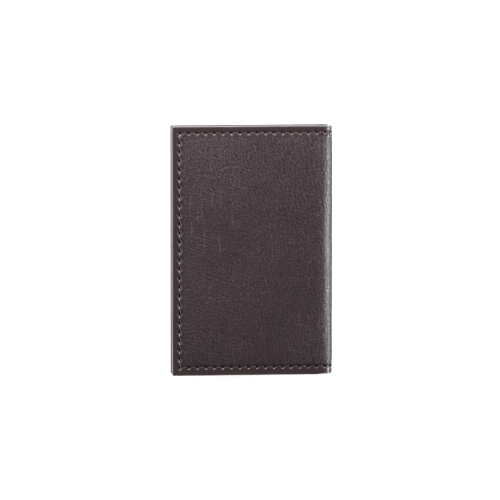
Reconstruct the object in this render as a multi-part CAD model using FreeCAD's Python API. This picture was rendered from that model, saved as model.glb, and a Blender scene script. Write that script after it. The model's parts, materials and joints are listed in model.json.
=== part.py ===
"""Slim bifold card wallet, sewn from turned-edge leather, modelled closed and lying on its back cover.

Frame: X runs from the fore edge (-X) to the spine (+X), Y runs up the height of the wallet and Z runs up
through its thickness. The origin is the centre of the footprint, on the face the wallet rests on.

Each cover is a stack of layers. Depth is measured inward from the outer skin of the leather, so the same
builder makes both covers: the front cover is the back cover's construction mirrored across the mid plane.
The leather and lining run on round the spine. They are cut there on four radial planes, into a strip beside
each cover and a middle strip. The fold lines run along Y, where those planes meet the outer skin, so that
every cut opens like a V, on the inside only, when the wallet is opened.
"""

import math
import os

import FreeCAD
import Part

V = FreeCAD.Vector

# ---- driving dimensions, in millimetres ----
WIDTH = 68.0  # fore edge to spine, closed
HEIGHT = 105.0
THICKNESS = 9.8  # both covers, closed
SPINE_RADIUS = 4.6  # outer radius of each rounded spine corner
CORNER_RADIUS = 0.9  # corners at the fore edge, seen from above
EDGE_ROUND = 0.5  # rounding of the turned edge

LEATHER = 1.1  # outer leather over the stiffener
FLANGE = 0.4  # skived leather that is turned in round the stiffener, level with it
FLANGE_WIDTH = 7.0  # how far the turned edge reaches inward
LINING = 0.3
CARD_GAP = 0.85  # room for one card, which is 0.76 thick
PANEL = 0.55  # leather of the pocket panels
FILM = 0.2  # clear film of the window pocket
BOARD_CLEAR = 1.0  # the stiffener stops this far from the spine curve

PANEL_INSET = 0.3  # the lining and panels stop just short of the cover's edge
HEM_REACH = 5.0  # inner limit of the sewn hems, from the cover's edge
POCKET_MOUTH_X = 22.5  # mouth of the deep pocket in both covers
SHALLOW_MOUTH_X = 11.5  # mouth of the front cover's second pocket
WINDOW_MOUTH_X = 18.5  # mouth of the back cover's window pocket
WINDOW_LOW_X, WINDOW_HIGH_X = -25.0, 12.0
WINDOW_HALF_Y = 37.5
WINDOW_CORNER = 3.0
FILM_CLEAR = 1.0  # the film stops this far short of the mouth
THUMB_HOLE_X = 2.0  # centre of the slot that lets a thumb push the card out
THUMB_HOLE_RADIUS = 5.0
THUMB_HOLE_HALF_LENGTH = 6.0

SEAM_INSET = 3.2  # stitch line to the cover's edge
SIDE_STITCHES = 26  # along the fore edge
ROW_STITCHES = 16  # along the top and bottom, before the spine
ROW_END_CLEAR = 2.7  # last hole on the flat to the start of the spine curve
SPINE_STITCHES = 6  # round the spine, between the last holes on the flat of the two covers
NEEDLE_HOLE_RADIUS = 0.3
SHANK_RADIUS = 0.22  # thread inside a needle hole
THREAD_WIDTH = 0.5
CHANNEL_WIDTH = 0.9  # groove that the needle thread is pulled into
CHANNEL_DEPTH = 0.45
THREAD_RECESS = 0.05  # the needle thread stays below the skin
INNER_CHANNEL_DEPTH = 0.3
INNER_THREAD_PROUD = 0.05
LINING_THREAD = 0.3  # height of the bobbin thread where it lies on the lining
STITCH_DIP = 0.3  # each stitch dives into its hole over this length
LINK = 0.15  # height left in the dip

COVER_FOLD = 22.5  # where a cover ends on the spine curve, in degrees from its flat
MIDDLE_FOLD = 67.5  # where the middle strip of the spine begins
FOLD_GAP = 0.02  # threads stop this far, as an arc, from a fold line

# ---- derived dimensions ----
HALF_X, HALF_Y, MID_Z = WIDTH / 2, HEIGHT / 2, THICKNESS / 2
CURVE_X = HALF_X - SPINE_RADIUS  # where the flat of each cover ends
SKIN = LEATHER + FLANGE  # outer leather with its turned edge
BASE = SKIN + LINING  # depth at which the first pocket sits
POCKET_TOP = BASE + CARD_GAP + PANEL
SHALLOW_TOP = POCKET_TOP + CARD_GAP + PANEL
WINDOW_TOP = POCKET_TOP + CARD_GAP + FILM + PANEL
FILM_LOW = POCKET_TOP + CARD_GAP
ROWS_Y = (-(HALF_Y - SEAM_INSET), HALF_Y - SEAM_INSET)
PANEL_X = -HALF_X + PANEL_INSET
PANEL_Y = HALF_Y - PANEL_INSET
CAVITY_X = -HALF_X + HEM_REACH
CAVITY_Y = HALF_Y - HEM_REACH
SEAM_X = -HALF_X + SEAM_INSET
SEAM_Y = HALF_Y - SEAM_INSET
ROW_END_X = CURVE_X - ROW_END_CLEAR
ROW_PITCH = (ROW_END_X - SEAM_X) / ROW_STITCHES
SIDE_PITCH = 2 * SEAM_Y / SIDE_STITCHES
SPINE_LENGTH = 2 * ROW_END_CLEAR + math.pi * SPINE_RADIUS + THICKNESS - 2 * SPINE_RADIUS
SPINE_PITCH = SPINE_LENGTH / SPINE_STITCHES
COVER_HOLE = math.degrees((SPINE_PITCH - ROW_END_CLEAR) / SPINE_RADIUS)  # angles on the curve
STRIP_HOLE = math.degrees((2 * SPINE_PITCH - ROW_END_CLEAR) / SPINE_RADIUS)
DIP_ANGLE = math.degrees(STITCH_DIP / SPINE_RADIUS)
GAP_ANGLE = math.degrees(FOLD_GAP / SPINE_RADIUS)
NEEDLE_FULL = (THREAD_RECESS, CHANNEL_DEPTH)  # depths of the needle thread between its dips
NEEDLE_THIN = (CHANNEL_DEPTH - LINK, CHANNEL_DEPTH)  # and in them
BOBBIN_FULL = (BASE, BASE + LINING_THREAD)  # the same for the bobbin thread on the lining
BOBBIN_THIN = (BASE, BASE + LINK)


# ---- layer shapes ----
def curve_point(angle, depth, upper=False):
    """A point on the spine curve of the back cover, or of the front cover if upper."""
    radius = SPINE_RADIUS - depth
    turn = math.radians(angle)
    x = CURVE_X + radius * math.sin(turn)
    z = SPINE_RADIUS - radius * math.cos(turn)
    return V(x, 0, THICKNESS - z if upper else z)


def curve_edge(start, end, depth, upper=False):
    points = [curve_point(angle, depth, upper) for angle in (start, (start + end) / 2, end)]
    return Part.Arc(*points).toShape()


def line(a, b):
    return Part.makeLine(a, b)


def extrude_section(edges, y_low, y_high):
    face = Part.Face(Part.Wire(Part.__sortEdges__(edges)))
    face.translate(V(0, y_low, 0))
    return face.extrude(V(0, y_high - y_low, 0))


def cover_strip(depths, x_low, y_low, y_high, angle=COVER_FOLD):
    """Part of one layer of the back cover, from x_low to an angle on the spine curve."""
    near, far = depths
    edges = [
        line(V(x_low, 0, near), V(CURVE_X, 0, near)),
        curve_edge(0, angle, near),
        line(curve_point(angle, near), curve_point(angle, far)),
        curve_edge(0, angle, far),
        line(V(CURVE_X, 0, far), V(x_low, 0, far)),
        line(V(x_low, 0, far), V(x_low, 0, near)),
    ]
    return extrude_section(edges, y_low, y_high)


def curve_strip(depths, start, end, y_low, y_high, upper=False):
    """Part of one layer that lies wholly on a spine curve."""
    near, far = depths
    edges = [
        curve_edge(start, end, near, upper),
        line(curve_point(end, near, upper), curve_point(end, far, upper)),
        curve_edge(start, end, far, upper),
        line(curve_point(start, far, upper), curve_point(start, near, upper)),
    ]
    return extrude_section(edges, y_low, y_high)


def middle_strip(depths, start, y_low, y_high):
    """Part of one layer, from an angle on the lower spine curve to the same angle on the upper one."""
    near, far = depths
    edges = [
        curve_edge(start, 90, near),
        line(curve_point(90, near), curve_point(90, near, True)),
        curve_edge(start, 90, near, True),
        line(curve_point(start, near, True), curve_point(start, far, True)),
        curve_edge(start, 90, far, True),
        line(curve_point(90, far, True), curve_point(90, far)),
        curve_edge(start, 90, far),
        line(curve_point(start, far), curve_point(start, near)),
    ]
    return extrude_section(edges, y_low, y_high)


def box(x_low, x_high, y_low, y_high, z_low, z_high):
    size = (x_high - x_low, y_high - y_low, z_high - z_low)
    return Part.makeBox(*size, V(x_low, y_low, z_low))


def on_front(shape):
    """Mirrors a back cover shape to the front cover."""
    return shape.mirror(V(0, 0, MID_Z), V(0, 0, 1))


# ---- edges ----
def middle_of(edge):
    return edge.valueAt((edge.FirstParameter + edge.LastParameter) / 2)


def spans_depth(edge):
    """True for a straight edge that runs through the thickness of a layer."""
    return not isinstance(edge.Curve, Part.Circle) and abs(edge.Length - SKIN) < 1e-6


def fore_corners(slab):
    """The two short edges where the fore edge meets the top and bottom."""
    return [e for e in slab.Edges if spans_depth(e) and abs(middle_of(e).x + HALF_X) < 1e-6]


def end_outline(slab):
    """The edges along the top and bottom ends of a slab, on its outer and inner face."""
    at_end = [e for e in slab.Edges if abs(abs(middle_of(e).y) - HALF_Y) < 1e-6]
    return [e for e in at_end if not spans_depth(e)]


def fore_outline(slab):
    """The edges along the fore edge of a cover slab and round its rounded corners."""
    found = []
    for edge in slab.Edges:
        middle = middle_of(edge)
        beside = middle.x < -HALF_X + CORNER_RADIUS and abs(middle.y) < HALF_Y - 1e-6
        if beside and not spans_depth(edge):
            found.append(edge)
    return found


def round_cover(slab):
    slab = slab.makeFillet(CORNER_RADIUS, fore_corners(slab))
    return slab.makeFillet(EDGE_ROUND, end_outline(slab) + fore_outline(slab))


def round_strip(slab):
    return slab.makeFillet(EDGE_ROUND, end_outline(slab))


# ---- needle holes ----
def flat_hole(x, y, radius=NEEDLE_HOLE_RADIUS, low=-1.0, high=MID_Z):
    return Part.makeCylinder(radius, high - low, V(x, y, low))


def curve_hole(angle, y, radius=NEEDLE_HOLE_RADIUS, near=-1.0, far=SPINE_RADIUS):
    start = curve_point(angle, near) + V(0, y, 0)
    end = curve_point(angle, far) + V(0, y, 0)
    return Part.makeCylinder(radius, far - near, start, end - start)


def middle_hole(y, radius=NEEDLE_HOLE_RADIUS, near=-1.0, far=SPINE_RADIUS):
    return Part.makeCylinder(radius, far - near, V(HALF_X - near, y, MID_Z), V(-1, 0, 0))


def row_holes():
    return [SEAM_X + k * ROW_PITCH for k in range(ROW_STITCHES + 1)]


def side_holes():
    return [-SEAM_Y + k * SIDE_PITCH for k in range(SIDE_STITCHES + 1)]


def cover_holes(up_to_x=HALF_X):
    """Every needle hole of one cover whose X is below a limit."""
    holes = [flat_hole(SEAM_X, y) for y in side_holes()]
    for y in ROWS_Y:
        holes += [flat_hole(x, y) for x in row_holes()[1:] if x < up_to_x]
        if up_to_x >= HALF_X:
            holes.append(curve_hole(COVER_HOLE, y))
    return Part.makeCompound(holes)


def strip_holes():
    return Part.makeCompound([curve_hole(STRIP_HOLE, y) for y in ROWS_Y])


def middle_holes():
    return Part.makeCompound([middle_hole(y) for y in ROWS_Y])


# ---- leather, stiffener and lining ----
def channels(strip):
    """The grooves of the top and bottom rows, where strip makes one layer between two Y values."""
    half = CHANNEL_WIDTH / 2
    low_row, high_row = (strip(y - half, y + half) for y in ROWS_Y)
    return low_row.fuse(high_row)


def cover_channel():
    half = CHANNEL_WIDTH / 2
    depths = (-0.5, CHANNEL_DEPTH)
    side = box(SEAM_X - half, SEAM_X + half, -SEAM_Y - half, SEAM_Y + half, *depths)
    return side.fuse(channels(lambda low, high: cover_strip(depths, SEAM_X, low, high)))


def stiffener():
    half_y = HALF_Y - FLANGE_WIDTH
    return box(-HALF_X + FLANGE_WIDTH, CURVE_X - BOARD_CLEAR, -half_y, half_y, LEATHER, SKIN)


def cover_leather():
    slab = round_cover(cover_strip((0, SKIN), -HALF_X, -HALF_Y, HALF_Y))
    return slab.cut(stiffener()).cut(cover_channel()).cut(cover_holes())


def cover_lining():
    return cover_strip((SKIN, BASE), PANEL_X, -PANEL_Y, PANEL_Y).cut(cover_holes())


def strip_leather():
    slab = round_strip(curve_strip((0, SKIN), COVER_FOLD, MIDDLE_FOLD, -HALF_Y, HALF_Y))
    depths = (-0.5, CHANNEL_DEPTH)
    groove = channels(lambda low, high: curve_strip(depths, COVER_FOLD, MIDDLE_FOLD, low, high))
    return slab.cut(groove).cut(strip_holes())


def strip_lining():
    return curve_strip((SKIN, BASE), COVER_FOLD, MIDDLE_FOLD, -PANEL_Y, PANEL_Y).cut(strip_holes())


def middle_leather():
    slab = round_strip(middle_strip((0, SKIN), MIDDLE_FOLD, -HALF_Y, HALF_Y))
    depths = (-0.5, CHANNEL_DEPTH)
    groove = channels(lambda low, high: middle_strip(depths, MIDDLE_FOLD, low, high))
    return slab.cut(groove).cut(middle_holes())


def middle_lining():
    return middle_strip((SKIN, BASE), MIDDLE_FOLD, -PANEL_Y, PANEL_Y).cut(middle_holes())


# ---- pockets ----
def seam_groove(top, x_high):
    """The groove the bobbin thread lies in, along the three sewn sides of a pocket panel."""
    half = CHANNEL_WIDTH / 2
    low, high = top - INNER_CHANNEL_DEPTH, top + 1
    groove = box(SEAM_X - half, SEAM_X + half, -SEAM_Y - half, SEAM_Y + half, low, high)
    for y in ROWS_Y:
        groove = groove.fuse(box(SEAM_X, x_high + 1, y - half, y + half, low, high))
    return groove


def pocket(floor, top, mouth_x, groove_from=None):
    """A panel on turned-under hems: closed on three sides, open towards the spine."""
    body = box(PANEL_X, mouth_x, -PANEL_Y, PANEL_Y, floor, top)
    cavity = box(CAVITY_X, mouth_x + 1, -CAVITY_Y, CAVITY_Y, floor - 1, top - PANEL)
    groove = seam_groove(top, mouth_x)
    if groove_from is not None:
        groove = groove.common(box(groove_from, mouth_x + 1, -HALF_Y, HALF_Y, 0, THICKNESS))
    return body.cut(cavity).cut(groove).cut(cover_holes(mouth_x))


def window_opening():
    opening = box(WINDOW_LOW_X, WINDOW_HIGH_X, -WINDOW_HALF_Y, WINDOW_HALF_Y, FILM_LOW, MID_Z)
    upright = [e for e in opening.Edges if abs(e.Vertexes[0].Z - e.Vertexes[-1].Z) > 1e-6]
    return opening.makeFillet(WINDOW_CORNER, upright)


def window_frame():
    return pocket(POCKET_TOP, WINDOW_TOP, WINDOW_MOUTH_X).cut(window_opening())


def window_film():
    limit_x = WINDOW_MOUTH_X - FILM_CLEAR
    top = FILM_LOW + FILM
    film = box(CAVITY_X, limit_x, -CAVITY_Y, CAVITY_Y, FILM_LOW, top)
    half = THUMB_HOLE_HALF_LENGTH
    low_x, high_x = THUMB_HOLE_X - THUMB_HOLE_RADIUS, THUMB_HOLE_X + THUMB_HOLE_RADIUS
    hole = box(low_x, high_x, -half, half, FILM_LOW - 1, top + 1)
    for y in (-half, half):
        end = Part.makeCylinder(THUMB_HOLE_RADIUS, FILM + 2, V(THUMB_HOLE_X, y, FILM_LOW - 1))
        hole = hole.fuse(end)
    return film.cut(hole)


# ---- threads ----
def fuse_all(pieces):
    return pieces[0].multiFuse(pieces[1:]).removeSplitter()


def row_limits(y):
    return y - THREAD_WIDTH / 2, y + THREAD_WIDTH / 2


def side_stitches(full, thin, shank):
    """Straight stitches along the fore edge: thin in the dips, full height between them."""
    half = THREAD_WIDTH / 2
    holes = side_holes()
    pieces = [box(SEAM_X - half, SEAM_X + half, holes[0], holes[-1], *thin)]
    for a, b in zip(holes, holes[1:]):
        pieces.append(box(SEAM_X - half, SEAM_X + half, a + STITCH_DIP, b - STITCH_DIP, *full))
    pieces += [flat_hole(SEAM_X, y, SHANK_RADIUS, *shank) for y in holes]
    return pieces


def cover_curve_stitch(full, thin, shank, y):
    """The end of a row: a stitch onto the curve, a hole, and half a stitch up to the fold line."""
    low_y, high_y = row_limits(y)
    fold = COVER_FOLD - GAP_ANGLE
    return [
        cover_strip(thin, ROW_END_X, low_y, high_y, fold),
        cover_strip(full, ROW_END_X + STITCH_DIP, low_y, high_y, COVER_HOLE - DIP_ANGLE),
        curve_strip(full, COVER_HOLE + DIP_ANGLE, fold, low_y, high_y),
        curve_hole(COVER_HOLE, y, SHANK_RADIUS, *shank),
    ]


def inner_level(x, mouth, top):
    """Depth of the innermost face at a place along the top or bottom row."""
    if x < mouth:
        return top
    return POCKET_TOP if x < POCKET_MOUTH_X else BASE


def needle_thread(mouth, top):
    """The thread on a cover's outer face, with a shank in each hole down to the middle of the stack."""
    pieces = side_stitches(NEEDLE_FULL, NEEDLE_THIN, (NEEDLE_THIN[0], top / 2))
    for y in ROWS_Y:
        low_y, high_y = row_limits(y)
        pieces.append(box(SEAM_X, ROW_END_X, low_y, high_y, *NEEDLE_THIN))
        for a, b in zip(row_holes(), row_holes()[1:]):
            pieces.append(box(a + STITCH_DIP, b - STITCH_DIP, low_y, high_y, *NEEDLE_FULL))
            end = inner_level(b, mouth, top) / 2
            pieces.append(flat_hole(b, y, SHANK_RADIUS, NEEDLE_THIN[0], end))
        pieces += cover_curve_stitch(NEEDLE_FULL, NEEDLE_THIN, (NEEDLE_THIN[0], BASE / 2), y)
    return fuse_all(pieces)


def bobbin_depths(level, tall):
    """Depths of the bobbin thread: in a groove on a pocket panel, or on the face of the lining."""
    if level == BASE:
        return BOBBIN_FULL if tall else BOBBIN_THIN
    low = level - INNER_CHANNEL_DEPTH
    return (low, level + INNER_THREAD_PROUD) if tall else (low, low + LINK)


def bobbin_thread(mouth, top):
    """The thread on a cover's inner face, stepping down at each pocket mouth."""
    full, thin = bobbin_depths(top, True), bobbin_depths(top, False)
    pieces = side_stitches(full, thin, (top / 2, thin[1]))
    for y in ROWS_Y:
        for a, b in zip(row_holes(), row_holes()[1:]):
            levels = [inner_level(x, mouth, top) for x in (a, b)]
            pieces += bobbin_stitch(a, b, levels, mouth, y)
            shank = (levels[1] / 2, bobbin_depths(levels[1], False)[1])
            pieces.append(flat_hole(b, y, SHANK_RADIUS, *shank))
        pieces += cover_curve_stitch(BOBBIN_FULL, BOBBIN_THIN, (BASE / 2, BOBBIN_THIN[1]), y)
    return fuse_all(pieces)


def bobbin_stitch(a, b, levels, mouth, y):
    """One inner stitch of a row, with a step down where a pocket mouth lies between its two holes."""
    low_y, high_y = row_limits(y)
    inner, outer = levels
    if inner == outer:
        return [
            box(a, b, low_y, high_y, *bobbin_depths(inner, False)),
            box(a + STITCH_DIP, b - STITCH_DIP, low_y, high_y, *bobbin_depths(inner, True)),
        ]
    step = mouth if a < mouth < b else POCKET_MOUTH_X
    riser = (bobbin_depths(outer, True)[0], bobbin_depths(inner, True)[1])
    return [
        box(a, step, low_y, high_y, *bobbin_depths(inner, False)),
        box(a + STITCH_DIP, step + LINK, low_y, high_y, *bobbin_depths(inner, True)),
        box(step, step + LINK, low_y, high_y, *riser),
        box(step, b - STITCH_DIP, low_y, high_y, *bobbin_depths(outer, True)),
        box(step, b, low_y, high_y, *bobbin_depths(outer, False)),
    ]


def strip_thread(full, thin, shank):
    """The top and bottom threads on one face of the strip beside a cover."""
    rows = []
    for y in ROWS_Y:
        low_y, high_y = row_limits(y)
        start, end = COVER_FOLD + GAP_ANGLE, MIDDLE_FOLD - GAP_ANGLE
        pieces = [curve_strip(thin, start, end, low_y, high_y)]
        pieces.append(curve_strip(full, start, STRIP_HOLE - DIP_ANGLE, low_y, high_y))
        pieces.append(curve_strip(full, STRIP_HOLE + DIP_ANGLE, end, low_y, high_y))
        pieces.append(curve_hole(STRIP_HOLE, y, SHANK_RADIUS, *shank))
        rows.append(fuse_all(pieces))
    return Part.makeCompound(rows)


def middle_thread(full, thin, shank):
    """The top and bottom threads on one face of the middle strip, with their hole in its flat."""
    rows = []
    for y in ROWS_Y:
        low_y, high_y = row_limits(y)
        start = MIDDLE_FOLD + GAP_ANGLE
        pieces = [middle_strip(thin, start, low_y, high_y)]
        pieces += [curve_strip(full, start, 90, low_y, high_y, upper) for upper in (False, True)]
        pieces.append(middle_hole(y, SHANK_RADIUS, *shank))
        rows.append(fuse_all(pieces))
    return Part.makeCompound(rows)


# ---- the whole wallet ----
def cover_parts(mouth, top):
    return {
        "cover_leather": cover_leather(),
        "stiffener": stiffener(),
        "lining": cover_lining(),
        "needle_thread": needle_thread(mouth, top),
        "bobbin_thread": bobbin_thread(mouth, top),
    }


def spine_parts(leather, lining, thread):
    return {
        "leather": leather,
        "lining": lining,
        "needle_thread": thread(NEEDLE_FULL, NEEDLE_THIN, (NEEDLE_THIN[0], BASE / 2)),
        "bobbin_thread": thread(BOBBIN_FULL, BOBBIN_THIN, (BASE / 2, BOBBIN_THIN[1])),
    }


def build():
    parts = {}
    for name, shape in cover_parts(WINDOW_MOUTH_X, WINDOW_TOP).items():
        parts[f"back_{name}"] = shape
    for name, shape in cover_parts(SHALLOW_MOUTH_X, SHALLOW_TOP).items():
        parts[f"front_{name}"] = on_front(shape)
    parts["back_card_pocket"] = pocket(BASE, POCKET_TOP, POCKET_MOUTH_X, WINDOW_MOUTH_X)
    parts["back_window_frame"] = window_frame()
    parts["back_window_film"] = window_film()
    deep_pocket = pocket(BASE, POCKET_TOP, POCKET_MOUTH_X, SHALLOW_MOUTH_X)
    parts["front_deep_pocket"] = on_front(deep_pocket)
    parts["front_shallow_pocket"] = on_front(pocket(POCKET_TOP, SHALLOW_TOP, SHALLOW_MOUTH_X))
    for name, shape in spine_parts(strip_leather(), strip_lining(), strip_thread).items():
        parts[f"spine_back_{name}"] = shape
        parts[f"spine_front_{name}"] = on_front(shape)
    for name, shape in spine_parts(middle_leather(), middle_lining(), middle_thread).items():
        parts[f"spine_middle_{name}"] = shape
    return parts


os.makedirs("parts", exist_ok=True)
for name, shape in build().items():
    shape.exportStep(f"parts/{name}.step")
    print(f"{name}: {len(shape.Solids)} solids, {shape.Volume:.1f} mm3, valid {shape.isValid()}")
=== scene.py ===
"""A closed bifold card wallet in pebbled leather, on a white studio table, seen from almost straight above.

Every soft part is a thin closed sheet. A sheet is laid out flat first, in sheet coordinates in millimetres:
s runs along the skin of the outer leather, from the fore edge of the back cover, round the spine, to the
fore edge of the front cover; t runs up the height of the wallet; d is the depth below the skin. wrap() then
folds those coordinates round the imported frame. Textures follow the stored sheet coordinates, so they stay
put when the wallet opens.
"""

import json
import math

import bpy
import numpy as np
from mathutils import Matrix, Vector


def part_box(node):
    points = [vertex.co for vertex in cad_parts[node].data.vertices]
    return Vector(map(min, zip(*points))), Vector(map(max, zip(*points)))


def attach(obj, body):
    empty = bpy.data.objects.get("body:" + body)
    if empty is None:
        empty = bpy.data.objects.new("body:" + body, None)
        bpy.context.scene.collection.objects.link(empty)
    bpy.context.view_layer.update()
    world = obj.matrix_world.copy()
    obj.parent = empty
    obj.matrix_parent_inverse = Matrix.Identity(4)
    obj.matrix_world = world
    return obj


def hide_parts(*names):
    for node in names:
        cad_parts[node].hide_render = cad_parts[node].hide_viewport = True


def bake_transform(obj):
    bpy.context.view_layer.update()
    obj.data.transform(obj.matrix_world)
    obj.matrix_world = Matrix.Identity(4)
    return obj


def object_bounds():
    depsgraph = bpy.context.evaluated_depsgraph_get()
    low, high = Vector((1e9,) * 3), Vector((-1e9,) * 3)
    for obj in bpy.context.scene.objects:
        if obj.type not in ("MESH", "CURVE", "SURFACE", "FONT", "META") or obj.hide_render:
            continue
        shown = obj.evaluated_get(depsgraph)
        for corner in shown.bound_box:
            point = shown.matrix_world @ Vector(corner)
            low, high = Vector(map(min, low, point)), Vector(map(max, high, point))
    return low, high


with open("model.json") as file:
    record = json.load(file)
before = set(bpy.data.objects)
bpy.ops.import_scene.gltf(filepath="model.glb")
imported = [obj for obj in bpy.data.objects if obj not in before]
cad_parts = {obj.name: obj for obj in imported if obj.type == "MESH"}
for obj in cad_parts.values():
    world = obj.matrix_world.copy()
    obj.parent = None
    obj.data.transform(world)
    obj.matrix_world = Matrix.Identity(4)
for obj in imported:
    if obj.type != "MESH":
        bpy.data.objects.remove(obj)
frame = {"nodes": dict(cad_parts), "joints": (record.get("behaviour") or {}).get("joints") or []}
cad_low, cad_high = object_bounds()

MM = 0.001  # one millimetre, in Blender's metres
SEED = 7
EDGE_SQUARENESS = 0.45  # 1 is a half round, smaller is squarer
GRID, BORDER_GRID, SEAM_GRID = 0.31, 0.3, 0.15  # mesh spacing inside, on the border and at the stitches
SEAM_BAND = 0.75  # half width of the fine mesh at the stitches
EDGE_MAX = 9.0  # the distance from an edge is stored up to here
PIT_DEPTH = 0.72  # of a needle hole
BOARD_PLAY = 0.05  # room round each board
OUTER_THREAD, INNER_THREAD = 0.17, 0.18  # radius of each thread

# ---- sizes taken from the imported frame, in millimetres ----
JOINTS = {joint["name"]: joint for joint in frame["joints"]}
COVER_FOLD = math.radians(22.5)  # angle of the first fold line on the spine curve
STRIP_MIDDLE = math.radians(45)
X_FORE, HALF_Y, THICK = cad_low.x / MM, cad_high.y / MM, cad_high.z / MM
RADIUS = JOINTS["back_fold"]["pos_m"][2] / MM / (1 - math.cos(COVER_FOLD))
FLAT = cad_high.x / MM - RADIUS - X_FORE  # width of a cover's flat
ARC = RADIUS * math.pi / 2
S_TOTAL = 2 * (FLAT + ARC) + THICK - 2 * RADIUS
S_MIDDLE = S_TOTAL / 2
S_STRIP = FLAT + RADIUS * STRIP_MIDDLE  # middle of the strip beside the back cover
S_CUTS = (0, S_STRIP, S_MIDDLE, S_TOTAL - S_STRIP, S_TOTAL)

# a soft sheet is made in four pieces, one for each fold
FOLDS = ("back_fold", "spine_back_fold", "spine_front_fold", "front_fold")
FOLD_PIECES = ("back_cover", "spine_back", "spine_front", "front_cover")
FOLD_NODES = (("back",), ("spine_back", "spine_middle"), ("spine_front",), ("front",))


def depth_of(node, side):
    """Depth of a back cover node's nearest (side 0) or furthest (side 1) flat face below the skin."""
    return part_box(node)[side].z / MM


def inset_of(node, side):
    """Distance of a node's nearest (side 0) or furthest (side 1) end from the fore edge."""
    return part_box(node)[side].x / MM - X_FORE


SKIN = depth_of("back_stiffener", 1)
BOARD = depth_of("back_stiffener", 0)
BASE = depth_of("back_card_pocket", 0)
CARD_TOP = depth_of("back_card_pocket", 1)
WINDOW_TOP = depth_of("back_window_frame", 1)
FILM_LOW, FILM_TOP = depth_of("back_window_film", 0), depth_of("back_window_film", 1)
SHALLOW_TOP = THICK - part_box("front_shallow_pocket")[0].z / MM
PANEL = WINDOW_TOP - FILM_TOP
LINING_INSET = inset_of("back_lining", 0)
CARD_MOUTH = inset_of("back_card_pocket", 1)
WINDOW_MOUTH = inset_of("back_window_frame", 1)
SHALLOW_MOUTH = inset_of("front_shallow_pocket", 1)
FLANGE = inset_of("back_stiffener", 0)
BOARD_END = inset_of("back_stiffener", 1)
PACKED_THREAD = 0.25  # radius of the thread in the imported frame
SEAM = inset_of("back_needle_thread", 0) + PACKED_THREAD  # edge to stitch line
HEM = 5.0  # width of a folded hem
WINDOW_LOW, WINDOW_HIGH = -25.0 - X_FORE, 12.0 - X_FORE
WINDOW_HALF, WINDOW_CORNER = 37.5, 3.0
THUMB_MIDDLE, THUMB_RADIUS, THUMB_HALF = 2.0 - X_FORE, 5.0, 11.0  # slot for the thumb in the film
CORNER_POINTS = 8  # in half of a rounded corner
TWIST = 5.5  # how fast the plies of the thread turn, in radians per millimetre
PLY_WAVES = 12.5  # radians of ply relief round the thread

SIDE_STITCHES, ROW_STITCHES, SPINE_STITCHES = 26, 16, 6
ROW_T = HALF_Y - SEAM  # height of the top row of stitches
ROW_END = FLAT - 2.7  # last hole on the flat of a cover
SIDE_PITCH = 2 * ROW_T / SIDE_STITCHES
ROW_PITCH = (ROW_END - SEAM) / ROW_STITCHES
SPINE_PITCH = (S_TOTAL - 2 * ROW_END) / SPINE_STITCHES

# holes up a fore edge, and along one cover's half of a row
SIDE_HOLES = [-ROW_T + k * SIDE_PITCH for k in range(SIDE_STITCHES + 1)]
ROW_HOLES = [SEAM + k * ROW_PITCH for k in range(ROW_STITCHES + 1)]
ROW_HOLES += [ROW_END + k * SPINE_PITCH for k in range(1, SPINE_STITCHES // 2 + 1)]

# across from the fore edge, middle and half length of each fine wrinkle, in millimetres
WRINKLES = (
    (7.3, 19, 6),
    (8.6, 9, 7),
    (10.8, 15.5, 5),
    (12.6, 17.5, 6.5),
    (13.5, 6, 8),
    (16.8, 23, 4),
    (20.7, 22, 5),
    (19.8, 3, 6),
    (25.5, 14, 5),
)

# ---- looks, as linear colours and radiances ----
LEATHER_RED = (0.0232, 0.0118, 0.013)
LEATHER_BLUE = (0.0204, 0.0109, 0.0139)
LEATHER_DARK = (0.013, 0.0072, 0.0082)
# The crease colour is a painted highlight: pale colour painted into the grain creases and wrinkles.
LEATHER_CREASE_HIGHLIGHT = (0.105, 0.077, 0.085)
LEATHER_SPECK = (0.11, 0.07, 0.045)
LEATHER_BORDER = (0.031, 0.0175, 0.018)
LEATHER_WORN = (0.085, 0.058, 0.052)
# The edge colour is a painted reflection: pale lavender grey on the rolled sides, for the bright table they
# reflect.
LEATHER_EDGE_REFLECTION = (0.155, 0.147, 0.172)
# The hole colour is painted shade: nearly black inside the needle holes.
LEATHER_HOLE_SHADE = (0.002, 0.0016, 0.0016)
LEATHER_GLOSS = (0.5, 0.06)  # specular level where it is seen squarely, and edge on
FILM_TINT = (0.93, 0.955, 0.96)
THREAD_DARK, THREAD_LIGHT = (0.04, 0.022, 0.021), (0.085, 0.052, 0.05)
# The next colour is a painted glint: a painted highlight where a stitch leaves its hole.
THREAD_GLINT = (0.62, 0.5, 0.49)
LINING_DARK, LINING_LIGHT = (0.012, 0.0095, 0.0105), (0.045, 0.037, 0.04)
BOARD_DARK, BOARD_LIGHT = (0.11, 0.1, 0.09), (0.3, 0.28, 0.25)
FLOOR_LIFT, FLOOR_GLEAM = 0.75, 0.9  # added for the camera, and for reflections
WORLD_RADIANCE, BACKDROP_RADIANCE = 0.12, 1.2
WORLD_TINT = (0.97, 0.98, 1.0)
FLOOR_DARK, FLOOR_LIGHT = (0.79, 0.79, 0.79), (0.81, 0.81, 0.81)
VIEW_WIDTH = 0.2095  # metres of table across the picture
CAMERA_DISTANCE = 2.5
SENSOR = 36.0  # width of the sensor in millimetres
CAMERA_TILT = (math.radians(-5.8), math.radians(-5.6))  # about X and Y, seen from above and left of square
CAMERA_AIM = (-0.0012, 0.0004, 0.0098)


# ---- smooth steps and noise ----
def hill(x, width):
    """1 where x is 0, falling off smoothly within about the width."""
    return np.exp(-((x / width) ** 2))


def fade(x, low, high):
    """0 below low, 1 above high, smooth between them."""
    x = np.clip((x - low) / (high - low), 0, 1)
    return x * x * (3 - 2 * x)


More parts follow.
